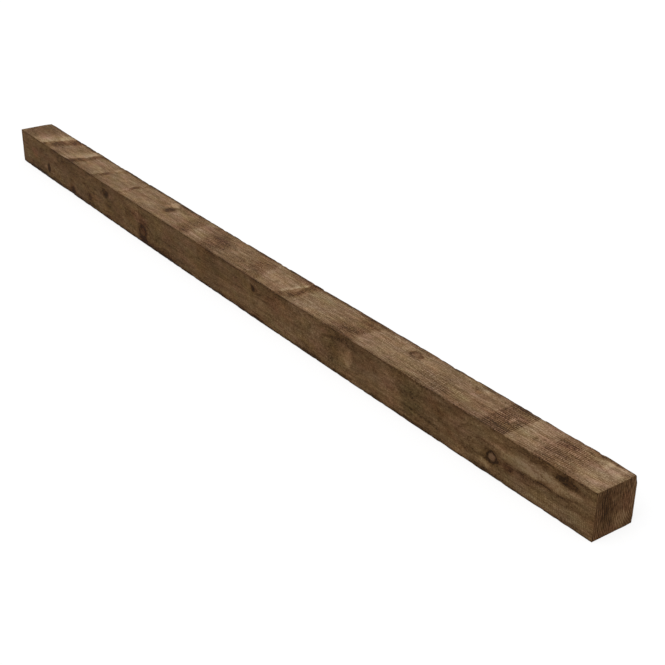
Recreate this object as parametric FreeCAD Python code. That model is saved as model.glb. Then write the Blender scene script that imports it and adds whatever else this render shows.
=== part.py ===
"""Sawn softwood fence post: one length of 100 x 100 mm timber, 2.4 m long, lying on one face.

The post is a single sawn piece, so it is a single solid. It is bowed a little sideways, as sawn
timber dries: the front and back are long parallel arcs, while the underside, the upper side and
the two cut ends are flat. The four long corners (the arrises) and the rims of the cut ends are
worn round, and the arrises carry shallow scoops of wane and knocks.

Frame, in millimetres: X runs along the timber, from the foot end (-X) to the head end (+X).
-Y is the front, which the bow swells. +Z is up. The origin is at the bottom centre of the
bounding box, on the face that the post lies on.
"""

import FreeCAD
import Part

import math
import os

from FreeCAD import Vector

# Driving dimensions
LENGTH = 2400.0
SECTION = 100.0  # sawn width and depth
BOW = 9.0  # how far the front stands out at mid-length, from the line between its ends
ARRIS_RADIUS = 1.5  # wear on the long corners and round the rims of the cut ends

# Scoops taken out of the long arrises. Each entry is the scoop's middle along the post, its
# length, and how deep it reaches below the sharp corner, measured at 45 degrees.
BACK_TOP_SCOOPS = (
    (-990.0, 130.0, 1.6),
    (-740.0, 170.0, 1.9),
    (-555.0, 60.0, 1.6),
    (-300.0, 90.0, 1.2),
    (-165.0, 220.0, 1.6),
    (0.0, 80.0, 1.1),
    (345.0, 60.0, 1.2),
    (733.0, 36.0, 1.5),
    (1020.0, 90.0, 1.7),
    (1195.0, 150.0, 2.8),
)
FRONT_TOP_SCOOPS = (
    (-1130.0, 90.0, 1.4),
    (-395.0, 60.0, 1.3),
    (1040.0, 30.0, 2.2),
)
FRONT_BOTTOM_SCOOPS = (
    (-880.0, 120.0, 1.3),
    (420.0, 160.0, 1.2),
)
BACK_BOTTOM_SCOOPS = (
    (-240.0, 200.0, 1.8),
    (830.0, 110.0, 1.6),
)

# The bow moves the ends back by half of itself and the middle forward by the other half,
# which keeps the bounding box centred on the origin.
END_SHIFT = BOW / 2
MIDDLE_SHIFT = -BOW / 2


def bow_shift(x):
    """How far the timber's centreline is moved in Y at a place along the post."""
    radius = (LENGTH / 2) ** 2 / (2 * BOW) + BOW / 2
    return MIDDLE_SHIFT + radius - math.sqrt(radius**2 - x**2)


def side_arc(offset):
    """The plan line of a side, parallel to the bowed centreline at that offset in Y."""
    foot = Vector(-LENGTH / 2, END_SHIFT + offset, 0)
    middle = Vector(0, MIDDLE_SHIFT + offset, 0)
    head = Vector(LENGTH / 2, END_SHIFT + offset, 0)
    return Part.Arc(foot, middle, head).toShape()


def sawn_blank():
    """The bowed square length with sharp corners: its plan outline, raised by the section."""
    front = side_arc(-SECTION / 2)
    back = side_arc(SECTION / 2)
    foot_cut = Part.makeLine(back.Vertexes[0].Point, front.Vertexes[0].Point)
    head_cut = Part.makeLine(front.Vertexes[1].Point, back.Vertexes[1].Point)
    outline = Part.Wire(Part.__sortEdges__([front, head_cut, back, foot_cut]))
    return Part.Face(outline).extrude(Vector(0, 0, SECTION))


def scoop(x, length, depth, out_y, out_z):
    """A cutter for one shallow scoop in the arris that faces (out_y, out_z).

    It is a wide flat disc lying along the arris. Its rim dips to the given depth below the
    sharp corner, and leaves the corner again at half the length either way.
    """
    outward = Vector(0, out_y, out_z).normalize()
    across = outward.cross(Vector(1, 0, 0))
    radius = (length / 2) ** 2 / (2 * depth) + depth / 2
    thickness = SECTION / 2
    corner_z = SECTION if out_z > 0 else 0.0
    corner = Vector(x, bow_shift(x) + out_y * SECTION / 2, corner_z)
    centre = corner + outward * (radius - depth)
    return Part.makeCylinder(radius, thickness, centre - across * (thickness / 2), across)


def fence_post():
    """The finished post: the blank with every edge worn round, less the scoops."""
    post = sawn_blank()
    post = post.makeFillet(ARRIS_RADIUS, post.Edges)
    arrises = (
        (BACK_TOP_SCOOPS, 1, 1),
        (FRONT_TOP_SCOOPS, -1, 1),
        (FRONT_BOTTOM_SCOOPS, -1, -1),
        (BACK_BOTTOM_SCOOPS, 1, -1),
    )
    for scoops, out_y, out_z in arrises:
        for x, length, depth in scoops:
            post = post.cut(scoop(x, length, depth, out_y, out_z))
    return post


os.makedirs("parts", exist_ok=True)
timber = fence_post()
timber.Solids[0].exportStep("parts/post.step")
box = timber.optimalBoundingBox(False, False)
print("solids", len(timber.Solids), "valid", timber.isValid(), "faces", len(timber.Faces))
print("size mm", round(box.XLength, 2), round(box.YLength, 2), round(box.ZLength, 2))
print("low corner", round(box.XMin, 2), round(box.YMin, 2), round(box.ZMin, 2))
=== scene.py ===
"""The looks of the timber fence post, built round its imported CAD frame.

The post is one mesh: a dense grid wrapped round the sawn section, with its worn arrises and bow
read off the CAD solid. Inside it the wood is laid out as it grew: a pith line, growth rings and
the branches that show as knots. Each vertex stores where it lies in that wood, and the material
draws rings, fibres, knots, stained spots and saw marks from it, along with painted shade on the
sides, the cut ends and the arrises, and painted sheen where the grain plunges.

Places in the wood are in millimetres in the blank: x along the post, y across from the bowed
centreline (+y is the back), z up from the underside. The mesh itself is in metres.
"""

from collections import namedtuple
from math import radians
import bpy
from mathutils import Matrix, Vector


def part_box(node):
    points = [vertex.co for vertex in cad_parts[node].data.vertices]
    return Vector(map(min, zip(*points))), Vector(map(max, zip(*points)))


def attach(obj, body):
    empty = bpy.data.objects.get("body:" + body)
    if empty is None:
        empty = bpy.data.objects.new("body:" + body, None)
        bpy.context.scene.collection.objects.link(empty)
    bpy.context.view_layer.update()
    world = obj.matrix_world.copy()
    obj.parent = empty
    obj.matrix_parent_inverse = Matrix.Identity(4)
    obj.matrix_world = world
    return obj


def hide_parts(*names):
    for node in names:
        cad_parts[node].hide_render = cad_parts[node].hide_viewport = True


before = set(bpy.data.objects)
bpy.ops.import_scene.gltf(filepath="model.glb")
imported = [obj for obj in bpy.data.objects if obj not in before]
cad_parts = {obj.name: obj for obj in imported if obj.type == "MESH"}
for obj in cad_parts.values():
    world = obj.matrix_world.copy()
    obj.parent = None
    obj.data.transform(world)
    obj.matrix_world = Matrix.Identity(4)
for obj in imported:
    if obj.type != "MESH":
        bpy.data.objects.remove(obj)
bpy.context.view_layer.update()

from types import SimpleNamespace

import bpy
import numpy as np
from mathutils import Vector
from mathutils.bvhtree import BVHTree

MM = 0.001

# ---------------------------------------------------------------- the blank, from the CAD frame

LOW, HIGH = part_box("post")
LENGTH = (HIGH.x - LOW.x) / MM
SECTION = (HIGH.z - LOW.z) / MM
HALF_LENGTH = LENGTH / 2
HALF = SECTION / 2

# The grid: steps across one side and rows along the post.
EDGE_MARKS = (0.0, 0.5, 1.0, 1.6, 2.4, 3.5, 5.0, 7.0)  # steps close to each arris
EDGE_ZONE = 9.3  # where the even steps across the middle begin
MIDDLE_STEPS = 24
SIDE_STEPS = 2 * len(EDGE_MARKS) + MIDDLE_STEPS
RIM_MARKS = (0.0, 0.5, 1.0, 1.7, 2.8)  # rows close to each cut end
ROWS = 580  # evenly spaced between those

UNDER, BACK, TOP, FRONT, FOOT, HEAD = range(6)

# ---------------------------------------------------------------- how the tree grew

PITH = (130.0, 72.0)  # y and z of the tree's centre, outside the section
PITH_WANDER = 5.0  # how far the stem wanders about its centre in long waves
PITH_RIPPLE = 2.0  # and in shorter ones
WANDER_WAVES = ((260, 0.7), (310, 2.1))  # in y and in z: millimetres for each radian, and phase
RIPPLE_WAVES = ((97, 0.0), (113, 1.0))
RING_WIDTH = 4.8
RING_WOBBLE = 2.2  # how far a ring strays from its circle
RING_RIPPLE_SHARE = 0.35  # how high the short waves of that are beside the long ones
TAPER = 9.0  # how much thicker the stem is at the head end than at the foot end
BRANCH_ROOT = (8.0, 52.0)  # y and z that the branches are drawn from
BRANCH_RADIUS = (0.2, 1.3)  # a branch's least and most along its length, in radii of its knot
LEAN = 0.35  # branches rise towards the foot end, which is the top of the tree
EYE_RINGS = 2.6  # how many rings a knot pushes outwards
EYE_WIDTH = 1.5  # how wide the pushed rings reach, in radii of the knot
EYE_STRETCH = 3.0  # how many times longer than wide that is
FLOW_STRETCH = 2.2  # the same for the fibres that flow round a knot
KNOT_UNEVEN = 0.22  # how uneven a smudge of a knot is in outline, as a share of its radius
KNOT_FIRMING = 0.15  # how much less a firm one is

# A knot: the side it shows on, where, its radius there, how light its heart is (0 to 1), how firm
# its outline and dark rim are (0 to 1), and how warm its colour is (-1 grey to 1 orange).
Knot = namedtuple("Knot", "side x across radius tone firm warmth")
KNOTS = (
    Knot(TOP, -688, 8, 8, 0.30, 0.1, 0.2),
    Knot(TOP, -541, 8, 8, 0.30, 0.1, 0.3),
    Knot(TOP, -361, 28, 8, 0.74, 0.2, 0.1),
    Knot(TOP, 474, 34, 8, 0.36, 0.1, 0.1),
    Knot(TOP, 643, 20, 10, 0.46, 0.5, -0.2),
    Knot(TOP, 829, 20, 7, 0.56, 0.2, 0.3),
    Knot(TOP, 1012, -7, 4, 0.34, 0.3, 0.0),
    Knot(TOP, 1166, 26, 9, 0.68, 0.1, -0.1),
    Knot(FRONT, -1003, 33, 9, 0.16, 0.2, 0.0),
    Knot(FRONT, -845, 20, 10, 0.24, 0.1, 0.0),
    Knot(FRONT, -622, 73, 9, 0.22, 0.1, 0.2),
    Knot(FRONT, -401, 32, 14, 0.36, 0.5, -0.2),
    Knot(FRONT, 136, 76, 7, 0.18, 0.1, 0.0),
    Knot(FRONT, 504, 54, 18, 0.58, 0.0, 0.0),
    Knot(FRONT, 948, 41, 10, 0.66, 1.0, -0.7),
    Knot(FRONT, 1146, 85, 12, 0.24, 0.0, 0.1),
    Knot(BACK, -1012, 60, 11, 0.56, 0.3, 0.5),
    Knot(BACK, -700, 36, 8, 0.30, 0.2, 0.0),
    Knot(BACK, -372, 64, 13, 0.45, 0.9, -0.2),
    Knot(BACK, -130, 28, 6, 0.25, 0.2, 0.0),
    Knot(BACK, 222, 50, 10, 0.56, 0.3, 0.4),
    Knot(BACK, 489, 70, 8, 0.28, 0.2, 0.0),
    Knot(BACK, 662, 42, 12, 0.42, 0.7, 0.1),
    Knot(BACK, 935, 64, 9, 0.60, 0.2, 0.6),
    Knot(BACK, 1130, 45, 8, 0.32, 0.3, 0.0),
    Knot(UNDER, -1035, -5, 9, 0.32, 0.5, 0.0),
    Knot(UNDER, -830, 20, 12, 0.52, 0.4, 0.4),
    Knot(UNDER, -560, -15, 7, 0.26, 0.2, 0.0),
    Knot(UNDER, -390, 18, 11, 0.45, 0.8, -0.2),
    Knot(UNDER, 120, -20, 8, 0.28, 0.2, 0.0),
    Knot(UNDER, 255, 10, 12, 0.58, 0.4, 0.5),
    Knot(UNDER, 630, -8, 10, 0.40, 0.6, 0.1),
    Knot(UNDER, 955, 22, 9, 0.32, 0.3, 0.0),
    Knot(UNDER, 1150, 0, 10, 0.58, 0.3, 0.5),
)

# A dip: a line across a side where the grain plunges under a whorl of branches. It is shown with
# painted sheen and shade: the wood is painted paler towards it from one side, where the fibres
# catch the light, and starts again painted dark on the other. x is given at the high end of
# "across" (the back, or the top) and at its low end; pale and dark are the lengths of the two
# flanks; facing is 1 where the pale flank is towards the foot end, and -1 the other way round.
Dip = namedtuple("Dip", "side x_high x_low pale dark strength facing")
DIPS = (
    Dip(TOP, -1000, -1046, 80, 58, 1.0, 1),
    Dip(TOP, -826, -872, 70, 38, 0.9, 1),
    Dip(TOP, -672, -708, 30, 24, 0.4, 1),
    Dip(TOP, -532, -552, 20, 18, 0.3, 1),
    Dip(TOP, -212, -190, 60, 50, 0.3, -1),
    Dip(TOP, 108, 150, 40, 70, 0.4, -1),
    Dip(TOP, 254, 222, 26, 40, 0.6, 1),
    Dip(TOP, 508, 516, 40, 80, 0.35, -1),
    Dip(BACK, -1030, -1010, 80, 50, 0.6, 1),
    Dip(BACK, -392, -372, 50, 40, 0.5, 1),
    Dip(BACK, 240, 210, 60, 50, 0.5, 1),
    Dip(BACK, 680, 660, 45, 45, 0.4, 1),
    Dip(UNDER, -850, -822, 80, 50, 0.6, 1),
    Dip(UNDER, -405, -380, 50, 40, 0.4, 1),
    Dip(UNDER, 236, 262, 60, 50, 0.6, 1),
    Dip(UNDER, 940, 965, 50, 40, 0.4, 1),
    Dip(FRONT, -430, -402, 40, 40, 0.25, 1),
    Dip(FRONT, 120, 140, 40, 30, 0.25, 1),
)

# A patch: an oval stained spot with its half length and half width; a few long thin ones are
# strips of painted shade along an arris. tone makes it lighter or darker, hue turns it olive (-1)
# or reddish (1), and saw says how much more its saw marks show. On a cut end x and the half length
# are upright, and x is counted from mid-height.
Patch = namedtuple("Patch", "side x across half_length half_width tone hue saw", defaults=(0.0,))
PATCHES = (
    Patch(TOP, -1160, 0, 75, 60, -0.22, 0.2),
    Patch(TOP, -1034, 22, 20, 16, 0.14, -0.2),
    Patch(TOP, -1008, -14, 18, 26, -0.16, 0.2),
    Patch(TOP, -930, 0, 40, 44, 0.04, 0.2),
    Patch(TOP, -853, 16, 14, 16, 0.12, -0.2),
    Patch(TOP, -848, -22, 12, 22, -0.12, 0.0),
    Patch(TOP, -760, 0, 50, 44, 0.05, 0.0),
    Patch(TOP, -687, -14, 12, 15, -0.24, 0.3),
    Patch(TOP, -690, 22, 10, 10, 0.16, 0.0),
    Patch(TOP, -540, 6, 8, 18, -0.26, 0.2),
    Patch(TOP, -512, 22, 24, 14, 0.06, 0.0),
    Patch(TOP, -362, 30, 20, 12, 0.56, 0.1),
    Patch(TOP, -374, 12, 12, 8, 0.28, 0.3),
    Patch(TOP, -344, 2, 15, 16, -0.46, 0.7),
    Patch(TOP, -225, 6, 36, 30, -0.10, 0.4, 0.5),
    Patch(TOP, -205, -28, 30, 16, -0.12, 0.2, 0.4),
    Patch(TOP, -90, -6, 60, 44, -0.22, 0.5, 0.7),
    Patch(TOP, -130, 20, 60, 20, -0.06, 0.2),
    Patch(TOP, -20, 0, 30, 30, 0.06, 0.0, 0.3),
    # painted shade: the two long dark strips along the back upper arris, with some dirt
    Patch(TOP, -600, 50, 620, 10, -0.32, -0.2),
    Patch(TOP, 560, 50, 640, 9, -0.24, 0.2),
    Patch(TOP, 70, -10, 60, 36, -0.06, 0.2, 0.4),
    Patch(TOP, 184, -12, 6, 8, -0.26, 0.1),
    Patch(TOP, 186, -6, 34, 40, 0.10, 0.2),
    Patch(TOP, 240, 37, 10, 8, -0.26, 0.1),
    Patch(TOP, 247, 22, 5, 15, 0.34, -0.3),
    Patch(TOP, 238, 0, 5, 14, 0.36, -0.3),
    Patch(TOP, 229, -22, 6, 12, 0.24, -0.2),
    Patch(TOP, 252, -4, 5, 12, 0.24, -0.2),
    Patch(TOP, 262, -14, 13, 26, -0.26, 0.3),
    Patch(TOP, 310, 22, 44, 14, 0.10, -0.5),
    Patch(TOP, 350, -10, 60, 26, 0.06, -0.2),
    Patch(TOP, 464, -26, 46, 28, -0.16, 0.4, 0.5),
    Patch(TOP, 492, 26, 36, 8, -0.10, 0.1),
    Patch(TOP, 575, 0, 70, 60, 0.09, 0.0),
    Patch(TOP, 643, 19, 20, 17, -0.16, 0.6),
    Patch(TOP, 630, 18, 7, 12, -0.26, 0.3),
    Patch(TOP, 658, 17, 7, 11, -0.24, 0.3),
    Patch(TOP, 760, -22, 90, 24, -0.02, 0.0, 0.9),
    Patch(TOP, 735, 47, 12, 6, -0.34, 0.0),
    Patch(TOP, 817, 25, 8, 6, -0.26, 0.1),
    Patch(TOP, 838, 32, 9, 5, 0.20, 0.2),
    Patch(TOP, 829, 6, 9, 5, 0.16, 0.6),
    Patch(TOP, 944, 0, 5, 8, 0.50, 0.4),
    Patch(TOP, 954, 16, 10, 4, 0.26, 0.2),
    Patch(TOP, 1013, -10, 4, 9, -0.24, 0.0),
    Patch(TOP, 1075, 18, 14, 11, -0.16, 0.2),
    Patch(TOP, 1085, 0, 45, 44, -0.04, 0.1, 0.6),
    Patch(TOP, 1152, 30, 8, 16, 0.40, -0.1),
    Patch(TOP, 1176, 20, 20, 8, 0.42, -0.1),
    Patch(TOP, 1180, 40, 16, 5, 0.36, 0.0),
    Patch(TOP, 1166, -8, 22, 34, 0.08, 0.0),
    Patch(TOP, 1060, 30, 26, 12, -0.12, 0.4),
    Patch(TOP, 1150, 44, 30, 5, -0.20, 0.1),
    Patch(FRONT, -1000, 50, 260, 90, -0.08, 0.0),
    Patch(FRONT, -500, 50, 160, 90, -0.06, 0.0),
    Patch(FRONT, 1000, 50, 280, 90, 0.08, 0.0),
    # painted shade: a long dark strip under the lower arris of the front, with some dirt
    Patch(FRONT, 200, 0, 1150, 8, -0.28, 0.0),
    Patch(FRONT, -1107, 50, 26, 18, 0.12, 1.0),
    Patch(FRONT, -1003, 33, 9, 17, -0.52, 0.3),
    Patch(FRONT, -1026, 30, 10, 8, 0.24, 0.5),
    # painted shade under the lower arris of the front, with some dirt
    Patch(FRONT, -900, 5, 330, 8, -0.30, 0.1),
    Patch(FRONT, -834, 16, 16, 12, -0.52, 0.5),
    Patch(FRONT, -850, 30, 34, 14, -0.08, 0.0),
    Patch(FRONT, -720, 30, 18, 14, -0.28, 0.3),
    Patch(FRONT, -690, 14, 30, 8, -0.14, -0.2),
    Patch(FRONT, -619, 72, 20, 13, -0.44, 0.0),
    Patch(FRONT, -605, 50, 30, 22, -0.08, -0.2),
    Patch(FRONT, -425, 66, 44, 20, 0.00, 1.0),
    Patch(FRONT, -404, 26, 28, 24, -0.40, 0.6),
    # painted shade under the lower arris of the front, with some dirt
    Patch(FRONT, -330, 8, 90, 9, -0.34, 0.8),
    Patch(FRONT, -320, 45, 24, 22, -0.06, -0.4),
    Patch(FRONT, -380, 82, 34, 9, -0.12, -0.2),
    Patch(FRONT, 245, 65, 70, 22, 0.00, 0.7),
    Patch(FRONT, 138, 75, 12, 7, -0.50, 0.0),
    Patch(FRONT, 180, 68, 34, 18, -0.08, -0.3, 0.3),
    Patch(FRONT, 340, 60, 12, 12, -0.14, 0.4),
    # painted shade under the lower arris of the front, with some dirt
    Patch(FRONT, 60, 6, 200, 6, -0.16, 0.4),
    Patch(FRONT, 452, 55, 30, 44, -0.16, -0.2, 0.5),
    Patch(FRONT, 505, 88, 50, 12, -0.28, 0.2),
    Patch(FRONT, 506, 52, 15, 20, 0.50, 0.3),
    Patch(FRONT, 650, 50, 40, 40, 0.03, 0.6),
    Patch(FRONT, 716, 50, 36, 42, -0.06, -1.0),
    Patch(FRONT, 780, 80, 20, 12, 0.04, 0.7),
    Patch(FRONT, 800, 60, 14, 10, -0.12, 0.3),
    Patch(FRONT, 948, 41, 28, 24, -0.12, 0.1),
    Patch(FRONT, 900, 30, 44, 6, -0.20, 0.2),
    Patch(FRONT, 928, 18, 18, 9, 0.34, -0.1),
    Patch(FRONT, 992, 40, 16, 11, -0.24, 0.7),
    Patch(FRONT, 1070, 67, 105, 15, 0.46, -0.3),
    Patch(FRONT, 1060, 46, 90, 5, -0.26, 0.0),
    Patch(FRONT, 1141, 87, 30, 12, -0.42, 0.3),
    Patch(FRONT, 1152, 70, 16, 6, 0.20, 0.5),
    Patch(FRONT, 1070, 22, 120, 14, 0.16, -0.4),
    Patch(BACK, -880, 40, 90, 26, -0.12, 0.6),
    Patch(BACK, -540, 60, 80, 22, 0.08, -0.5),
    Patch(BACK, -60, 45, 110, 30, -0.10, -0.6, 0.6),
    Patch(BACK, 360, 55, 80, 20, 0.08, 0.5),
    Patch(BACK, 830, 40, 90, 28, -0.10, 0.5, 0.4),
    Patch(UNDER, -960, 10, 80, 30, -0.10, -0.5),
    Patch(UNDER, -640, -10, 90, 26, 0.08, 0.4, 0.6),
    Patch(UNDER, -150, 5, 120, 30, -0.10, 0.5),
    Patch(UNDER, 420, -12, 90, 26, 0.06, -0.5),
    Patch(UNDER, 800, 8, 80, 32, -0.10, 0.4, 0.7),
    Patch(HEAD, 22, -26, 30, 14, -0.22, 0.0),
    Patch(HEAD, 0, -14, 34, 10, -0.18, 0.0),
    Patch(HEAD, -26, 18, 18, 20, 0.34, -0.2),
    Patch(HEAD, 10, 30, 28, 14, 0.06, 0.8),
    Patch(HEAD, -42, -12, 9, 30, 0.05, 0.4),
    Patch(HEAD, 0, 46, 44, 4, 0.20, 0.0),
)

# A band right across a side, from start to end along x: where a lath lay between stacked posts,
# or the wood beside it.
Band = namedtuple("Band", "side start end tone hue saw")
BANDS = (
    Band(TOP, 841, 903, -0.06, 0.15, -1.0),
    Band(TOP, 903, 971, -0.28, 0.4, 0.6),
    Band(TOP, 971, 1043, 0.12, 0.1, -0.2),
    Band(TOP, 1043, 1132, -0.03, 0.3, 0.0),
    Band(TOP, 1132, 1198, 0.10, 0.1, -0.3),
    Band(UNDER, -560, -500, -0.12, 0.2, 0.6),
    Band(UNDER, 470, 530, -0.12, 0.2, 0.6),
)

# How ragged those marks are: how far their outlines stray, in long waves and in short ones.
DIP_STRAY = (10.0, 2.5)
STAIN_STRAY = (12.0, 5.0)
STEADY_LENGTH = 40.0  # patches with a shorter half length stray less, in proportion
ACROSS_STRAY = 0.5  # how much of the stray there is across the grain
BAND_STRAY = 0.15  # and in a band's edges
BAND_SOFTNESS = 4.0
PATCH_EDGE = (0.5, 1.3)  # where a patch begins to fade and ends, in its half sizes
DIP_EDGE = (1.0, 1.5)  # the same for a dip, in lengths of its flank
DIP_USUAL, DIP_CHANGE = 0.8, 0.5  # the usual share of its strength, and how far that changes
NOTHING_NEAR = 4.0  # the distance stored where no knot or dip is near, in radii or flanks

# ---------------------------------------------------------------- how it was sawn and has worn

ROUND_OF_WEAR = 1.6  # the radius that an arris gets for each millimetre worn off its corner
LEAST_WEAR, MOST_WEAR = 0.5, 6.0  # the limits of what is read off the CAD solid
WEAR_CHANGE = 0.3  # how much the wear changes along an arris, as a share of it
CHIP_DEPTH = 1.1  # how deep the arrises are chipped, at 45 degrees
LONG_CHIP_SHARE = 0.6  # how deep the long chips are beside the short ones
SHORT_CHIP_RANGE = (0.1, 0.9)  # the values of their field where chips begin and are deepest
LONG_CHIP_RANGE = (0.2, 0.8)
BACK_TOP_EXTRA = 0.9  # how much deeper still the back upper arris is chipped
RIM_RADIUS = 1.0
RIM_CHANGE = 0.4  # how much it changes round the rim of a cut end, as a share of it
RIM_TO_ARRIS = (6.0, 18.0)  # how far from an arris the rim's own radius takes over

RELIEF = 0.3  # the deepest ordinary unevenness of a sawn side
RIPPLE_SHARE = 0.35  # how high its short waves are beside its long ones
KNOT_RIM_DEPTH = 0.9
KNOT_RIM_WIDTH = 0.16  # in radii of the knot
TEAR_DEPTH = 0.35
TEAR_WIDTH = 0.25  # in lengths of a dip's flank
KERF_RIDGES = 0.25  # how high the upright ridges of the cross-cut are
KERF_LUMPS = 0.15

# ---------------------------------------------------------------- smooth random values

# A field: the size of its cells along x, y and z, and its seed.
Field = namedtuple("Field", "cell seed")
RING_WAVES = Field((260, 45, 45), 11)
RING_RIPPLES = Field((90, 16, 16), 12)
KNOT_OUTLINE = Field((9, 9, 9), 13)
DIP_WAVES = Field((60, 26, 26), 21)
DIP_RIPPLES = Field((9, 9, 9), 22)
DIP_FADING = Field((36, 26, 26), 23)
STAIN_WAVES = Field((40, 18, 18), 31)
STAIN_RIPPLES = Field((12, 7, 7), 32)
ARRIS_WEAR = Field((38, 60, 60), 41)
SHORT_CHIPS = Field((13, 60, 60), 42)
RIM_WEAR = Field((60, 11, 11), 43)
LONG_CHIPS = Field((60, 60, 60), 44)
SAW_WAVES = Field((70, 30, 30), 51)
SAW_RIPPLES = Field((16, 7, 7), 52)
TORN_FIBRES = Field((8, 5, 5), 53)
RIDGES = Field((50, 3.2, 40), 54)
LUMPS = Field((50, 6, 6), 55)
FIELD_PERIOD = 64  # cells along each axis before a field repeats


def smooth_step(value, start, end):
    """0 below start, 1 above end, and an even curve between."""
    part = np.clip((value - start) / (end - start), 0, 1)
    return part * part * (3 - 2 * part)


def random_field(places, field):
    """A field's values, from -1 to 1: random at the corners of its cells, smooth between them."""
    size = (FIELD_PERIOD,) * 3
    table = np.random.default_rng(field.seed).uniform(-1, 1, size)
    at = places / np.asarray(field.cell, float)
    corner = np.floor(at).astype(int)
    part = at - corner
    part = part * part * (3 - 2 * part)
    total = np.zeros(len(places))
    for step in np.ndindex(2, 2, 2):
        weight = np.where(step, part, 1 - part).prod(axis=1)
        total += weight * table[tuple(((corner + step) % FIELD_PERIOD).T)]
    return total


# ---------------------------------------------------------------- reading the CAD solid


def cad_tree():
    """The CAD solid, ready for rays to be cast at it."""
    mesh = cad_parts["post"].data
    corners = [v.co.copy() for v in mesh.vertices]
    return BVHTree.FromPolygons(corners, [tuple(p.vertices) for p in mesh.polygons])


def centreline(tree):
    """The bow, as the y of the middle of the section along the post, fitted through the solid."""
    stations = np.linspace(-0.97, 0.97, 41) * HALF_LENGTH  # clear of the rounded rims
    reach = 2 * SECTION * MM
    middles = []
    for x in stations:
        start = Vector((x * MM, LOW.y - reach, HALF * MM))
        front = tree.ray_cast(start, Vector((0, 1, 0)))[0]
        start.y = HIGH.y + reach
        back = tree.ray_cast(start, Vector((0, -1, 0)))[0]
        middles.append((front.y + back.y) / 2 / MM)
    return np.poly1d(np.polyfit(stations, middles, 2))


def arris_radii(tree, bow, marks):
    """The radius that each of the four arrises has worn to, at every row of the mesh."""
    reach = 20.0
    clear_of_rims = HALF_LENGTH - 6
    radii = np.zeros((len(marks), 2, 2))
    for row, x in enumerate(np.clip(marks, -clear_of_rims, clear_of_rims)):
        for j, k in np.ndindex(2, 2):
            outward = Vector((0, 2 * j - 1, 2 * k - 1)).normalized()
            corner = Vector((x, bow(x) + (2 * j - 1) * HALF, k * SECTION)) * MM
            hit = tree.ray_cast(corner + outward * reach * MM, -outward)
            worn = hit[3] / MM - reach if hit[0] else 0.0
            radii[row, j, k] = ROUND_OF_WEAR * np.clip(worn, LEAST_WEAR, MOST_WEAR)
    return radii


# ---------------------------------------------------------------- the grid


def side_marks():
    """Places across one side, from 0 to the section's width."""
    edge = np.array(EDGE_MARKS)
    middle = np.linspace(EDGE_ZONE, SECTION - EDGE_ZONE, MIDDLE_STEPS + 1)
    return np.concatenate([edge, middle, SECTION - edge[::-1]])


def length_marks():
    """Places along the post, from the foot end to the head end."""
    rim = np.array(RIM_MARKS)
    middle = np.linspace(rim[-1], LENGTH - rim[-1], ROWS)[1:-1]
    return np.concatenate([rim, middle, LENGTH - rim[::-1]]) - HALF_LENGTH


def perimeter():
    """y and z of each step round the section, and the side that it belongs to."""
    marks = side_marks()[:-1]
    low, high = np.zeros_like(marks), np.full_like(marks, SECTION)
    under = np.stack([marks - HALF, low], 1)
    back = np.stack([high - HALF, marks], 1)
    top = np.stack([HALF - marks, high], 1)
    front = np.stack([low - HALF, SECTION - marks], 1)
    sides = np.repeat((UNDER, BACK, TOP, FRONT), SIDE_STEPS)
    return np.concatenate([under, back, top, front]), sides


def sharp_grid():
    """The sharp-cornered blank: vertices, their sides, quads, and the side of each quad."""
    marks, (around, ring_sides) = length_marks(), perimeter()
    count = len(around)
    wall = np.concatenate(
        [np.repeat(marks, count)[:, None], np.tile(around, (len(marks), 1))], axis=1
    )
    wall_sides = np.tile(ring_sides, len(marks))
    row = np.arange(len(marks) - 1)[:, None] * count
    step, after = np.arange(count), (np.arange(count) + 1) % count
    quads = np.stack([row + step, row + after, row + count + after, row + count + step], -1)
    places, sides = [wall], [wall_sides]
    faces, face_sides = [quads.reshape(-1, 4)], [np.tile(ring_sides, len(marks) - 1)]
    total = len(wall)
    for cap, x, first in ((FOOT, -HALF_LENGTH, 0), (HEAD, HALF_LENGTH, (len(marks) - 1) * count)):
        inner = side_marks()[1:-1]
        y, z = np.meshgrid(inner - HALF, inner, indexing="ij")
        places.append(np.stack([np.full(y.size, x), y.ravel(), z.ravel()], 1))
        sides.append(np.full(y.size, cap))
        index = cap_index(first, total)
        total += y.size
        quad = np.stack([index[:-1, :-1], index[1:, :-1], index[1:, 1:], index[:-1, 1:]], -1)
        quad = quad.reshape(-1, 4)
        faces.append(quad if cap == HEAD else quad[:, ::-1])
        face_sides.append(np.full(len(quad), cap))
    return (np.concatenate(part) for part in (places, sides, faces, face_sides))


def cap_index(first, inner_first):
    """Vertex numbers over a cut end by y and z step, sharing its rim with the wall's last row."""
    n = SIDE_STEPS
    index = np.zeros((n + 1, n + 1), int)
    index[1:-1, 1:-1] = inner_first + np.arange((n - 1) ** 2).reshape(n - 1, n - 1)
    steps = np.arange(n)
    index[steps, 0] = first + UNDER * n + steps
    index[n, steps] = first + BACK * n + steps
    index[n - steps, n] = first + TOP * n + steps
    index[0, n - steps] = first + FRONT * n + steps
    return index


# ---------------------------------------------------------------- the wood inside


def wandering(x, centre):
    """y and z of a line that wanders about a centre along the post."""
    line = []
    for middle, wander, ripple in zip(centre, WANDER_WAVES, RIPPLE_WAVES):
        long_wave = PITH_WANDER * np.sin(x / wander[0] + wander[1])
        short_wave = PITH_RIPPLE * np.sin(x / ripple[0] + ripple[1])
        line.append(middle + long_wave + short_wave)
    return np.stack(line, -1)


def place_on_side(side, x, across):
    """The blank's coordinates of a point on one of its four long sides."""
    if side in (TOP, UNDER):
        return np.array([x, across, SECTION if side == TOP else 0.0])
    return np.array([x, HALF if side == BACK else -HALF, across])


def across_on_side(places, sides):
    """Each vertex's place across its own side: z on the front and back, and y on the others."""
    return np.where(np.isin(sides, (FRONT, BACK)), places[:, 2], places[:, 1])


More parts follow.
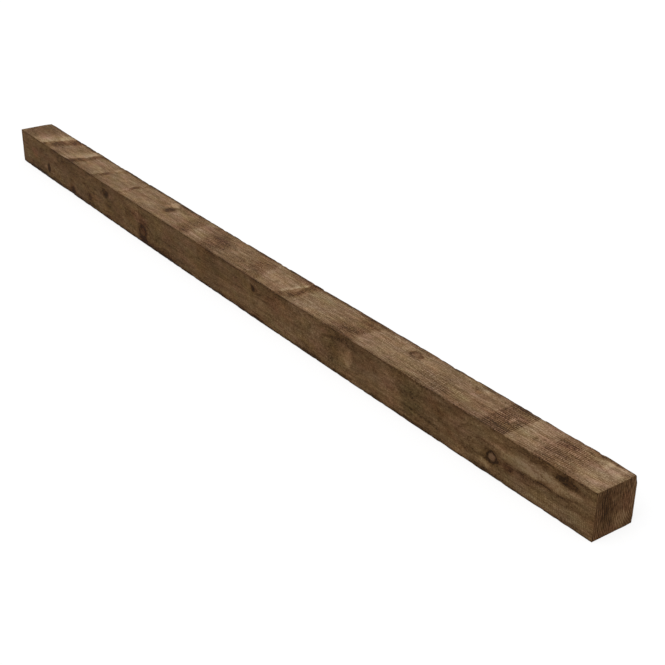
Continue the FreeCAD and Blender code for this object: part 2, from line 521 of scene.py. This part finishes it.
def from_nearest_arris(places):
    """How far each vertex is from the nearest arris, in y or in z, whichever is more."""
    return np.maximum(HALF - np.abs(places[:, 1]), HALF - np.abs(places[:, 2] - HALF))


def branch(knot, places):
    """Where places lie about a knot's branch.

    Gives how far out along the branch they are (0 at its root, 1 at the side), their distances
    from its axis along the grain and across it, and the direction of that across.
    """
    end = place_on_side(knot.side, knot.x, knot.across)
    root = wandering(knot.x, BRANCH_ROOT)
    rise = LEAN * np.linalg.norm(end[1:] - root)
    start = np.array([knot.x + rise, *root])
    reach = np.linalg.norm(end - start)
    axis = (end - start) / reach
    along = np.array([1.0, 0, 0]) - axis[0] * axis
    along /= np.linalg.norm(along)
    across = np.cross(axis, along)
    off = places - start
    return off @ axis / reach, off @ along, off @ across, across


def grow(places):
    """The wood at each place: ring number, grain coordinates and the nearest knot."""
    offset = places[:, 1:] - wandering(places[:, 0], PITH)
    wobble = random_field(places, RING_WAVES)
    wobble += RING_RIPPLE_SHARE * random_field(places, RING_RIPPLES)
    ring = (np.linalg.norm(offset, axis=1) + RING_WOBBLE * wobble) / RING_WIDTH
    ring -= TAPER * places[:, 0] / LENGTH / RING_WIDTH
    grain = places.copy()
    nearest = np.full(len(places), NOTHING_NEAR)
    look = np.zeros((len(places), 3))
    outline = random_field(places, KNOT_OUTLINE)
    for knot in KNOTS:
        out, along, across, direction = branch(knot, places)
        living = out > 0
        radius = knot.radius * np.clip(out, *BRANCH_RADIUS)
        uneven = 1 + (KNOT_UNEVEN - KNOT_FIRMING * knot.firm) * outline
        distance = np.hypot(along, across) / radius * uneven
        eye = (along / EYE_STRETCH) ** 2 + across**2
        ring -= living * EYE_RINGS * np.exp(-eye / (2 * (EYE_WIDTH * radius) ** 2))
        flow = (along / FLOW_STRETCH) ** 2 + across**2
        bend = living * across * np.minimum(1, radius**2 / np.maximum(flow, 1e-6))
        grain -= bend[:, None] * direction
        closer = living & (distance < nearest)
        nearest[closer] = distance[closer]
        look[closer] = knot.tone, knot.firm, (knot.warmth + 1) / 2
    return ring, grain, nearest, look


def stray(places, sizes, waves, ripples):
    """How far a mark's outline strays at each place: long waves and short ones."""
    return sizes[0] * random_field(places, waves) + sizes[1] * random_field(places, ripples)


def dips(places, sides):
    """Signed distance to the nearest dip's line, in lengths of its flanks, and its strength."""
    across = across_on_side(places, sides)
    bends = stray(places, DIP_STRAY, DIP_WAVES, DIP_RIPPLES)
    nearest = np.full(len(places), NOTHING_NEAR)
    strength = np.zeros(len(places))
    for dip in DIPS:
        high = HALF if dip.side in (TOP, UNDER) else SECTION
        part = np.clip((high - across) / SECTION, 0, 1)
        line = dip.x_high + (dip.x_low - dip.x_high) * part
        past = (places[:, 0] + bends - line) * dip.facing
        past = np.where(past < 0, past / dip.pale, past / dip.dark)
        closer = (sides == dip.side) & (np.abs(past) < np.abs(nearest))
        closer &= np.abs(past) < DIP_EDGE[1]
        nearest[closer] = past[closer]
        fade = 1 - smooth_step(np.abs(past), *DIP_EDGE)
        strength[closer] = (dip.strength * fade)[closer]
    return nearest, strength * (DIP_USUAL + DIP_CHANGE * random_field(places, DIP_FADING))


def stains_and_shade_strips(places, sides):
    """How much lighter each place is than plain wood, how reddish, and how strongly saw-marked."""
    across = across_on_side(places, sides)
    shift = stray(places, STAIN_STRAY, STAIN_WAVES, STAIN_RIPPLES)
    tone, hue, saw = np.zeros((3, len(places)))
    for patch in PATCHES:
        on_end = patch.side in (FOOT, HEAD)
        here = (places[:, 2] - HALF) if on_end else places[:, 0]
        drift = shift * min(1, patch.half_length / STEADY_LENGTH)
        far = (here - patch.x + drift) / patch.half_length
        wide = (across - patch.across + ACROSS_STRAY * drift) / patch.half_width
        weight = (sides == patch.side) * (1 - smooth_step(np.hypot(far, wide), *PATCH_EDGE))
        tone += patch.tone * weight
        hue += patch.hue * weight
        saw += patch.saw * weight
    x = places[:, 0] + BAND_STRAY * shift
    soft = BAND_SOFTNESS / 2
    for band in BANDS:
        weight = smooth_step(x, band.start - soft, band.start + soft)
        weight *= 1 - smooth_step(x, band.end - soft, band.end + soft)
        weight *= sides == band.side
        tone += band.tone * weight
        hue += band.hue * weight
        saw += band.saw * weight
    return tone, np.clip(hue, -1, 1), saw


# ---------------------------------------------------------------- the shape


def worn_radius(places, sides, bow, tree):
    """The radius that the edge nearest to each vertex has worn to."""
    marks = np.unique(places[:, 0])
    radii = arris_radii(tree, bow, marks)
    row = np.searchsorted(marks, places[:, 0])
    arris = radii[row, (places[:, 1] > 0).astype(int), (places[:, 2] > HALF).astype(int)]
    arris *= 1 + WEAR_CHANGE * random_field(places, ARRIS_WEAR)
    chips = smooth_step(random_field(places, SHORT_CHIPS), *SHORT_CHIP_RANGE)
    long_chips = smooth_step(random_field(places, LONG_CHIPS), *LONG_CHIP_RANGE)
    chips += LONG_CHIP_SHARE * long_chips
    rougher = 1 + BACK_TOP_EXTRA * ((places[:, 1] > 0) & (places[:, 2] > HALF))
    arris += ROUND_OF_WEAR * CHIP_DEPTH * chips * rougher
    rim = RIM_RADIUS * (1 + RIM_CHANGE * random_field(places, RIM_WEAR))
    return arris + (rim - arris) * smooth_step(from_nearest_arris(places), *RIM_TO_ARRIS)


def rounded(places, radius):
    """The blank with its edges rounded, and the outward normal at each vertex."""
    low = np.array([-HALF_LENGTH, -HALF, 0])
    high = np.array([HALF_LENGTH, HALF, SECTION])
    inner = np.clip(places, low + radius[:, None], high - radius[:, None])
    outward = places - inner
    outward /= np.linalg.norm(outward, axis=1)[:, None]
    return inner + radius[:, None] * outward, outward


def relief(places, sides, knot, look, dip, strength):
    """How far each vertex lies below the sawn face: saw waves, knots, torn grain and kerf."""
    depth = 0.5 + 0.5 * random_field(places, SAW_WAVES)
    depth += RIPPLE_SHARE * (1 + random_field(places, SAW_RIPPLES))
    depth *= RELIEF / (1 + 2 * RIPPLE_SHARE)
    firm = look[:, 1]
    depth += KNOT_RIM_DEPTH * firm * np.exp(-(((knot - 1.0) / KNOT_RIM_WIDTH) ** 2))
    torn = np.exp(-((dip / TEAR_WIDTH) ** 2)) * strength
    depth += TEAR_DEPTH * torn * (0.5 + 0.5 * random_field(places, TORN_FIBRES))
    kerf = KERF_RIDGES * (1 + random_field(places, RIDGES))
    kerf += KERF_LUMPS * (1 + random_field(places, LUMPS))
    return np.where(np.isin(sides, (FOOT, HEAD)), kerf, depth)


# ---------------------------------------------------------------- the mesh

# The map for baked textures: eight strips, two for each long side, and the ends beyond them.
STRIP_HEIGHT = 0.1155
CAP_SIZE = 0.0725
CAP_INSET = 0.05  # how far the first end is from the map's edge, in twice its size
MAP_GAP = 0.0012

# What the material is told of the shape: how much the outward direction has to point along the
# post, or up, to begin to count as a cut end, or as the upper side, and to count in full, and the
# furthest from an arris that matters.
END_FACING = (0.5, 0.9)
UP_FACING = (0.3, 0.95)
EDGE_REACH = 30.0


def map_coordinates(places, quads, face_sides):
    """UV of each corner of each quad."""
    corner = places[quads]
    x, y, z = corner[..., 0], corner[..., 1], corner[..., 2]
    far_half = (x.mean(1) > 0)[:, None]
    side = face_sides[:, None]
    level = np.isin(side, (UNDER, TOP))
    width = np.where(level, y + HALF, z) / SECTION
    u = (x + HALF_LENGTH * ~far_half) / HALF_LENGTH
    strip = 2 * side + far_half
    wall_u = MAP_GAP + u * (1 - 2 * MAP_GAP)
    wall_v = strip * STRIP_HEIGHT + MAP_GAP + width * (STRIP_HEIGHT - 2 * MAP_GAP)
    cap_u = (side - FOOT + CAP_INSET) * 2 * CAP_SIZE + (y + HALF) / SECTION * CAP_SIZE
    cap_v = 8 * STRIP_HEIGHT + MAP_GAP + z / SECTION * CAP_SIZE
    on_end = side >= FOOT
    return np.stack([np.where(on_end, cap_u, wall_u), np.where(on_end, cap_v, wall_v)], -1)


def store(mesh, name, values):
    """Writes one number or one vector for each vertex, for the material to read."""
    vector = values.ndim == 2
    kind, field = ("FLOAT_VECTOR", "vector") if vector else ("FLOAT", "value")
    layer = mesh.attributes.new(name, kind, "POINT")
    layer.data.foreach_set(field, np.ascontiguousarray(values, np.float32).ravel())


def timber():
    """The finished post as one object."""
    tree = cad_tree()
    bow = centreline(tree)
    places, sides, quads, face_sides = sharp_grid()
    ring, grain, knot, look = grow(places)
    dip, strength = dips(places, sides)
    tone, hue, saw = stains_and_shade_strips(places, sides)
    points, outward = rounded(places, worn_radius(places, sides, bow, tree))
    depth = relief(places, sides, knot, look, dip, strength)
    points -= depth[:, None] * outward
    points[:, 1] += bow(points[:, 0])

    mesh = bpy.data.meshes.new("post_timber")
    mesh.from_pydata(points * MM, [], quads.tolist())
    mesh.polygons.foreach_set("use_smooth", np.ones(len(quads), bool))
    flat_map = map_coordinates(places, quads, face_sides).astype(np.float32)
    mesh.uv_layers.new(name="OFBake").uv.foreach_set("vector", flat_map.ravel())
    on_end = smooth_step(np.abs(outward[:, 0]), *END_FACING)
    facing_up = smooth_step(outward[:, 2], *UP_FACING)
    from_edge = np.minimum(from_nearest_arris(places), EDGE_REACH)
    store(mesh, "ring", ring)
    store(mesh, "grain", grain * MM)
    store(mesh, "knot", knot)
    store(mesh, "knot_look", look)
    store(mesh, "dip", np.stack([dip, strength, saw], 1))
    store(mesh, "stain", np.stack([tone, hue, from_edge], 1))
    store(mesh, "facing", np.stack([facing_up, on_end, np.zeros_like(on_end)], 1))
    mesh.update()
    return bpy.data.objects.new("post_timber", mesh)


# ---------------------------------------------------------------- the material


def grey(level):
    return (level, level, level, 1.0)


class Graph:
    """The node tree of a material or a world, with a short method for each kind of node."""

    def __init__(self, owner):
        owner.use_nodes = True
        self.owner = owner
        self.tree = owner.node_tree
        self.tree.nodes.clear()

    def node(self, kind, **settings):
        made = self.tree.nodes.new(kind)
        for name, value in settings.items():
            setattr(made, name, value)
        return made

    def put(self, socket, value):
        if isinstance(value, bpy.types.NodeSocket):
            self.tree.links.new(value, socket)
        else:
            socket.default_value = value

    def math(self, operation, a, b=0.0):
        made = self.node("ShaderNodeMath", operation=operation)
        self.put(made.inputs[0], a)
        self.put(made.inputs[1], b)
        return made.outputs[0]

    def add(self, *values):
        total = values[0]
        for value in values[1:]:
            total = self.math("ADD", total, value)
        return total

    def times(self, *values):
        total = values[0]
        for value in values[1:]:
            total = self.math("MULTIPLY", total, value)
        return total

    def fit(self, value, start, end, low=0.0, high=1.0):
        """Maps start..end to low..high with a smooth curve, and holds it outside."""
        made = self.node("ShaderNodeMapRange", interpolation_type="SMOOTHSTEP")
        for socket, number in zip(made.inputs, (value, start, end, low, high)):
            self.put(socket, number)
        return made.outputs[0]

    def attribute(self, name):
        made = self.node("ShaderNodeAttribute", attribute_name=name)
        return made.outputs["Fac"]

    def vector(self, name):
        made = self.node("ShaderNodeAttribute", attribute_name=name)
        return made.outputs["Vector"]

    def parts(self, vector):
        made = self.node("ShaderNodeSeparateXYZ")
        self.put(made.inputs[0], vector)
        return made.outputs[0], made.outputs[1], made.outputs[2]

    def stretched(self, vector, scale):
        made = self.node("ShaderNodeVectorMath", operation="MULTIPLY")
        self.put(made.inputs[0], vector)
        self.put(made.inputs[1], scale)
        return made.outputs[0]

    def noise(self, vector, kind):
        """One of the noises listed below, about 0 and mostly within -1 to 1."""
        made = self.node("ShaderNodeTexNoise")
        self.put(made.inputs["Vector"], self.stretched(vector, kind.scale))
        self.put(made.inputs["Scale"], 1.0)
        self.put(made.inputs["Detail"], kind.detail)
        self.put(made.inputs["Roughness"], kind.roughness)
        return self.times(self.math("SUBTRACT", made.outputs["Fac"], 0.5), 4.0)

    def ramp(self, value, stops):
        made = self.node("ShaderNodeValToRGB")
        elements = made.color_ramp.elements
        while len(elements) < len(stops):
            elements.new(1.0)
        for element, (place, colour) in zip(elements, stops):
            element.position = place
            element.color = (*colour, 1.0)
        self.put(made.inputs[0], value)
        return made.outputs["Color"]

    def mix(self, factor, a, b, blend="MIX"):
        made = self.node("ShaderNodeMix", data_type="RGBA", blend_type=blend)
        self.put(made.inputs["Factor"], factor)
        self.put(made.inputs[6], a)
        self.put(made.inputs[7], b)
        return made.outputs[2]

    def tinted(self, colour, tint):
        return self.mix(1.0, colour, tint, "MULTIPLY")

    def blend(self, factor, a, b):
        """A number between a and b."""
        made = self.node("ShaderNodeMix", data_type="FLOAT")
        self.put(made.inputs["Factor"], factor)
        self.put(made.inputs[2], a)
        self.put(made.inputs[3], b)
        return made.outputs[0]


# Wood colours by tone: 0.5 is the plain upper side.
WOOD_TONES = (
    (0.00, (0.040, 0.022, 0.011)),
    (0.12, (0.072, 0.039, 0.018)),
    (0.25, (0.115, 0.064, 0.029)),
    (0.40, (0.166, 0.099, 0.050)),
    (0.50, (0.198, 0.122, 0.065)),
    (0.60, (0.232, 0.146, 0.081)),
    (0.75, (0.290, 0.189, 0.108)),
    (0.90, (0.360, 0.244, 0.148)),
    (1.00, (0.433, 0.310, 0.199)),
)
# Tints that the wood's colour is multiplied by: from olive to reddish, from bluish to yellowish,
# and inside a knot from grey to orange.
RED_HUES = (
    (0.0, (0.88, 1.03, 1.00)),
    (0.5, (1.00, 1.00, 1.00)),
    (1.0, (1.13, 0.93, 1.00)),
)
YELLOW_HUES = (
    (0.0, (1.00, 1.00, 1.16)),
    (0.5, (1.00, 1.00, 1.00)),
    (1.0, (1.00, 1.00, 0.82)),
)
KNOT_WARMTHS = (
    (0.0, (0.95, 0.99, 1.30)),
    (0.5, (1.00, 1.00, 1.00)),
    (1.0, (1.20, 0.93, 0.72)),
)
SIDE_SHADE_TINT = (0.70, 0.63, 0.52, 1.0)  # the sides are darker and warmer than the top: painted shade, and partly the brown treatment that they hold more of
END_SHADE_TINT = (0.70, 0.585, 0.48, 1.0)  # the cut ends are darker still: painted shade, and partly the treatment that they soak up most
SIDE_TONE = 0.54  # the tone of the sides before the layers are added
END_TONE = 0.56  # the same for the cut ends

# The material's lengths are in metres.
SAW_PITCH = 0.0046
CHATTER_PITCH = 0.0107  # a slower wave under the saw marks
SAW_WANDER = 0.0015  # how far a saw mark strays from straight
SAW_SLANT = 0.10  # how far it leans along the post for each metre across
DIVE_SHEEN_CONTRAST = 0.34  # how much painted sheen pales the wood before a dip's line, and painted shade darkens it behind
KNOT_RING_PITCH = 24.0  # how fast a knot's own rings follow, in radians for each of its radii
BUMP_HEIGHT = 0.0005  # how far a height of 1 stands out
BUMP_STRENGTH = 0.8
GLOSS = 0.08  # the specular level: treated wood hardly shines

# A noise: its cells per metre along x, y and z, how many finer layers it has, and how strong each
# of them is beside the one before.
Noise = namedtuple("Noise", "scale detail roughness")
FIBRE = Noise((18, 800, 800), 3.0, 0.6)
STREAK = Noise((14, 190, 190), 3.0, 0.65)
MOTTLE = Noise((10, 40, 40), 3.0, 0.6)
CLOUD = Noise((5, 13, 13), 2.0, 0.5)
BLOTCH = Noise((60, 110, 110), 3.0, 0.65)
GRIT = Noise((280, 460, 460), 1.0, 0.8)
SPECKS = Noise((170, 330, 330), 2.0, 0.7)
RING_WANDER = Noise((30, 120, 120), 2.0, 0.5)
RING_FADING = Noise((9, 40, 40), 1.0, 0.5)
SAW_FADING = Noise((6, 16, 16), 1.0, 0.5)
DIVE_EDGE = Noise((40, 160, 160), 3.0, 0.6)
KNOT_EDGE = Noise((150, 150, 150), 3.0, 0.6)
TEARING = Noise((45, 320, 65), 3.0, 0.65)
PORES = Noise((300, 420, 420), 2.0, 0.6)
RED_DRIFT = Noise((16, 40, 40), 3.0, 0.6)
YELLOW_DRIFT = Noise((14, 34, 30), 3.0, 0.6)


def wood_values(g):
    """What the mesh stores of the wood, and the noises that more than one layer uses.

    Fibres, streaks and mottle run with the grain; grit is the fuzz that the saw leaves.
    """
    wood = SimpleNamespace()
    wood.place = g.node("ShaderNodeTexCoord").outputs["Object"]
    wood.grain = g.vector("grain")
    wood.stain_tone, wood.hue, wood.from_edge = g.parts(g.vector("stain"))
    wood.up, wood.on_end, _ = g.parts(g.vector("facing"))
    wood.knot = g.attribute("knot")
    wood.knot_tone, wood.knot_firm, wood.knot_warmth = g.parts(g.vector("knot_look"))
    wood.dip, wood.dip_strength, wood.saw_extra = g.parts(g.vector("dip"))
    wood.fibre = g.noise(wood.grain, FIBRE)
    wood.streak = g.noise(wood.grain, STREAK)
    wood.mottle = g.noise(wood.grain, MOTTLE)
    wood.blotch = g.noise(wood.place, BLOTCH)
    wood.grit = g.noise(wood.place, GRIT)
    wander = g.times(g.noise(wood.grain, RING_WANDER), 0.09)
    wood.ring_phase = g.math("FRACT", g.add(g.attribute("ring"), wander))
    return wood


def rings(g, wood):
    """The dark late wood of each growth ring, and how strongly it shows.

    The phase runs from 0 to 1 over a ring. Late wood darkens past its middle and ends sharply.
    """
    late = g.times(g.fit(wood.ring_phase, 0.50, 0.88), g.fit(wood.ring_phase, 1.0, 0.92))
    show = g.fit(g.noise(wood.place, RING_FADING), -0.9, 0.8, 0.25, 1.0)
    return late, show


def saw_marks(g, wood):
    """Waves across the sides at a steady pitch, which come and go."""
    x, y, z = g.parts(wood.place)
    wander = g.times(wood.blotch, SAW_WANDER)
    slant = g.add(x, g.times(y, SAW_SLANT), g.times(z, SAW_SLANT), wander)
    fine = g.math("SINE", g.times(slant, 2 * np.pi / SAW_PITCH))
    coarse = g.math("SINE", g.times(slant, 2 * np.pi / CHATTER_PITCH))
    waves = g.add(g.times(fine, 0.9), g.times(coarse, 0.18))
    patches = g.times(g.noise(wood.place, SAW_FADING), 0.35)
    show = g.add(g.blend(wood.up, 0.2, 0.45), patches, wood.saw_extra)
    broken = g.fit(g.add(wood.streak, wood.grit), -1.0, 1.0, 0.3, 1.4)
    return g.times(waves, g.math("MAXIMUM", show, 0.0), broken)


def dive_sheen(g, wood):
    """Painted sheen and shade where the grain plunges: pale up to a line and dark behind it.

    Gives the painted change of tone, and how strong the painted dark part is.
    """
    ragged = g.add(wood.dip, g.times(g.noise(wood.grain, DIVE_EDGE), 0.14))
    pale = g.times(g.fit(ragged, -1.0, -0.10), g.fit(ragged, 0.10, -0.10))
    dark = g.times(g.fit(ragged, -0.10, 0.16), g.fit(ragged, 1.2, 0.6))
    change = g.add(g.times(pale, DIVE_SHEEN_CONTRAST), g.times(dark, -DIVE_SHEEN_CONTRAST))
    return g.times(change, wood.dip_strength), g.times(dark, wood.dip_strength)


def knots(g, wood):
    """The layers of the knots: a heart with rings of its own, a broken dark rim and a dark halo.

    The less firm ones are no more than smudges.
    """
    uneven = g.noise(wood.place, KNOT_EDGE)
    edge = g.add(wood.knot, g.times(uneven, g.blend(wood.knot_firm, 0.45, 0.10)))
    spread = g.blend(wood.knot_firm, 0.55, 0.08)
    knot = SimpleNamespace()
    knot.inside = g.fit(edge, g.add(1.0, spread), g.math("SUBTRACT", 1.0, spread))
    broken = g.fit(g.add(wood.blotch, uneven), -0.8, 0.6, 0.35, 1.0)
    line = g.times(g.fit(edge, 0.55, 0.95), g.fit(edge, 1.60, 1.02))
    knot.rim = g.times(line, wood.knot_firm, broken)
    knot.halo = g.times(g.fit(edge, 2.6, 1.0), g.add(0.15, g.times(wood.knot_firm, 0.85)))
    waves = g.math("SINE", g.times(edge, KNOT_RING_PITCH))
    knot.rings = g.times(waves, wood.knot_firm, 0.06)
    knot.heart = g.add(
        wood.knot_tone,
        knot.rings,
        g.times(wood.blotch, 0.10),
        g.times(wood.grit, 0.08),
    )
    return knot


def sawn_side(g, wood, knot, dive_sheen_tone):
    """The tone and the height of the sides.

    Where a layer has two strengths, the second is for the upper side.
    """
    late, ring_show = rings(g, wood)
    saw = saw_marks(g, wood)
    cloud = g.noise(wood.place, CLOUD)
    specks = g.fit(g.noise(wood.place, SPECKS), 0.75, 1.5)  # dirt and torn fibre
    along_grain = g.add(
        g.times(wood.fibre, 0.20),
        g.times(wood.streak, 0.20),
        g.times(wood.mottle, 0.14),
    )
    tone = g.add(
        SIDE_TONE,
        g.times(along_grain, g.blend(wood.up, 0.72, 1.0)),
        g.times(cloud, g.blend(wood.up, 0.16, 0.10)),
        g.times(wood.blotch, g.blend(wood.up, 0.18, 0.16)),
        g.times(wood.grit, g.blend(wood.up, 0.29, 0.34)),
        g.times(specks, -0.18),
        g.times(saw, 0.25),
        g.times(late, ring_show, g.blend(wood.up, -0.16, -0.22)),
        # stained spots, and strips of painted shade along some arrises
        wood.stain_tone,
        # painted sheen and shade where the grain plunges under a whorl
        dive_sheen_tone,
        g.times(knot.halo, -0.10),
    )
    covered = g.times(knot.inside, g.blend(wood.knot_firm, 0.3, 0.9))
    tone = g.add(g.blend(covered, tone, knot.heart), g.times(knot.rim, -0.52))
    height = g.add(
        g.times(wood.fibre, 0.25),
        g.times(wood.streak, 0.35),
        g.times(wood.grit, 0.35),
        g.times(saw, 0.35),
        g.times(late, 0.35),
        g.times(specks, -0.8),
        g.times(knot.rim, -1.2),
        g.times(knot.rings, 4.0),
    )
    return tone, height


def cut_end(g, wood):
    """The tone and the height of the cut ends: rings end on, and upright tearing by the saw."""
    late = g.times(g.fit(wood.ring_phase, 0.30, 0.80), g.fit(wood.ring_phase, 1.0, 0.88))
    tearing = g.noise(wood.place, TEARING)
    pores = g.noise(wood.place, PORES)
    tone = g.add(
        END_TONE,
        g.times(tearing, 0.46),
        g.times(pores, 0.18),
        g.times(late, -0.34),
        wood.stain_tone,
    )
    height = g.add(g.times(tearing, 0.9), g.times(pores, 0.4), g.times(late, 0.5))
    return tone, height


def arris_dirt_and_shade(g, wood):
    """How much darker the wood is made near the arrises, as painted shade with some dirt: in
    places more, in places less.
    """
    patchiness = g.fit(g.add(wood.blotch, wood.mottle), -1.0, 1.0, 0.35, 1.0)
    narrow = g.times(g.fit(wood.from_edge, 4.0, 0.5), 0.28)
    wide = g.times(g.fit(wood.from_edge, 11.0, 1.0), 0.12)
    return g.times(g.add(narrow, wide), patchiness)


def wood_colour(g, wood, tone, knot, dive_shade):
    """The colour for a tone, with drifts of hue and the tint of the side that it is on: painted
    shade, darker and warmer on the sides and cut ends than on the top, and partly the treatment
    they hold.
    """
    red_drift = g.times(g.noise(wood.place, RED_DRIFT), g.blend(wood.on_end, 0.30, 0.15))
    # the painted shade behind a dip's line is also made warmer
    redness = g.add(0.5, g.times(wood.hue, 0.35), red_drift, g.times(dive_shade, 0.4))
    yellow_drift = g.times(g.noise(wood.place, YELLOW_DRIFT), g.blend(wood.on_end, 0.42, 0.25))
    yellowness = g.add(0.5, yellow_drift, g.times(dive_shade, 0.35))
    colour = g.tinted(g.ramp(tone, WOOD_TONES), g.ramp(redness, RED_HUES))
    colour = g.tinted(colour, g.ramp(yellowness, YELLOW_HUES))
    in_knot = g.tinted(colour, g.ramp(wood.knot_warmth, KNOT_WARMTHS))
    colour = g.mix(knot.inside, colour, in_knot)
    side_shade_tint = g.mix(wood.up, SIDE_SHADE_TINT, grey(1.0))
    return g.tinted(colour, g.mix(wood.on_end, side_shade_tint, END_SHADE_TINT))


def timber_material():
    """Brown treated softwood, dull all over."""
    g = Graph(bpy.data.materials.new("treated_timber"))
    wood = wood_values(g)
    knot = knots(g, wood)
    dive_sheen_tone, dive_shade = dive_sheen(g, wood)
    side_tone, side_height = sawn_side(g, wood, knot, dive_sheen_tone)
    end_tone, end_height = cut_end(g, wood)
    tone = g.blend(wood.on_end, side_tone, end_tone)
    # the wood is darkened near the arrises: painted shade, with some dirt
    tone = g.math("SUBTRACT", tone, arris_dirt_and_shade(g, wood))
    roughness = g.fit(g.add(wood.streak, wood.fibre), -1.5, 1.5, 0.85, 1.0)

    bump = g.node("ShaderNodeBump")
    g.put(bump.inputs["Strength"], BUMP_STRENGTH)
    g.put(bump.inputs["Distance"], BUMP_HEIGHT)
    g.put(bump.inputs["Height"], g.blend(wood.on_end, side_height, end_height))

    shader = g.node("ShaderNodeBsdfPrincipled")
    g.put(shader.inputs["Base Color"], wood_colour(g, wood, tone, knot, dive_shade))
    g.put(shader.inputs["Roughness"], roughness)
    g.put(shader.inputs["Specular IOR Level"], GLOSS)
    g.put(shader.inputs["Normal"], bump.outputs["Normal"])
    output = g.node("ShaderNodeOutputMaterial")
    g.put(output.inputs["Surface"], shader.outputs[0])
    return g.owner


# ---------------------------------------------------------------- the stage

FLOOR_SIZE = 60.0
FLOOR_BOUNCE = 0.35  # how much light the floor throws back on the post
SHADOW_SHARE = 0.30  # how much of the floor's white the post's shadow can take away
FLOOR_WHITE = 1.03  # how white the floor looks away from the shadow
SKY_STRENGTH = 0.42  # how strongly the surround lights the post
KEY_STRENGTH = 2.05
KEY_SPREAD = 70.0  # how wide the soft light is, in degrees
KEY_FROM = (0.25, -0.42, 1.0)  # the way to the middle of the light

CAMERA_PLACE = (2.338, -1.413, 1.2686)  # metres
CAMERA_TURN = (63.15, -0.47, 54.45)  # degrees about x, y and z
CAMERA_LENS = 67.13  # millimetres, on a sensor this wide
CAMERA_SENSOR = 36.0


def camera_ray(g):
    """1 for what is seen directly or in a reflection, and 0 for the light that falls on things."""
    path = g.node("ShaderNodeLightPath")
    seen = g.math("MAXIMUM", path.outputs["Is Camera Ray"], path.outputs["Is Glossy Ray"])
    return g.math("MAXIMUM", seen, path.outputs["Is Transmission Ray"])


def floor():
    """A wide white floor that keeps a soft shadow."""
    half = FLOOR_SIZE / 2
    mesh = bpy.data.meshes.new("floor")
    corners = [(-half, -half, 0), (half, -half, 0), (half, half, 0), (-half, half, 0)]
    mesh.from_pydata(corners, [], [(0, 1, 2, 3)])
    g = Graph(bpy.data.materials.new("floor_white"))
    seen = camera_ray(g)
    dull = g.node("ShaderNodeBsdfDiffuse")
    g.put(dull.inputs["Color"], g.mix(seen, grey(FLOOR_BOUNCE), grey(SHADOW_SHARE)))
    glow = g.node("ShaderNodeEmission")
    g.put(glow.inputs["Strength"], g.times(seen, FLOOR_WHITE - SHADOW_SHARE))
    both = g.node("ShaderNodeAddShader")
    g.put(both.inputs[0], dull.outputs[0])
    g.put(both.inputs[1], glow.outputs[0])
    output = g.node("ShaderNodeOutputMaterial")
    g.put(output.inputs["Surface"], both.outputs[0])
    mesh.materials.append(g.owner)
    ground = bpy.data.objects.new("floor", mesh)
    bpy.context.scene.collection.objects.link(ground)


def sky():
    """An even surround: plain white where it is seen, and weaker as light on the post."""
    world = bpy.data.worlds.new("studio")
    bpy.context.scene.world = world
    g = Graph(world)
    background = g.node("ShaderNodeBackground")
    g.put(background.inputs["Color"], grey(1.0))
    g.put(background.inputs["Strength"], g.blend(camera_ray(g), SKY_STRENGTH, 1.0))
    output = g.node("ShaderNodeOutputWorld")
    g.put(output.inputs["Surface"], background.outputs[0])


def key_light():
    """One very wide soft light overhead, a little towards the camera."""
    lamp = bpy.data.lights.new("softbox", "SUN")
    lamp.energy = KEY_STRENGTH
    lamp.angle = radians(KEY_SPREAD)
    softbox = bpy.data.objects.new("softbox", lamp)
    softbox.rotation_euler = Vector(KEY_FROM).to_track_quat("Z", "Y").to_euler()
    bpy.context.scene.collection.objects.link(softbox)


def camera():
    lens = bpy.data.cameras.new("camera")
    lens.lens = CAMERA_LENS
    lens.sensor_width = CAMERA_SENSOR
    lens.clip_end = 200.0
    seat = bpy.data.objects.new("camera", lens)
    seat.location = CAMERA_PLACE
    seat.rotation_euler = [radians(turn) for turn in CAMERA_TURN]
    bpy.context.scene.collection.objects.link(seat)
    bpy.context.scene.camera = seat


# ---------------------------------------------------------------- everything together

bpy.context.scene.view_settings.view_transform = "Standard"
camera()
floor()
sky()
key_light()

post = timber()
bpy.context.scene.collection.objects.link(post)
post.data.materials.append(timber_material())
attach(post, "root")
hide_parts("post")
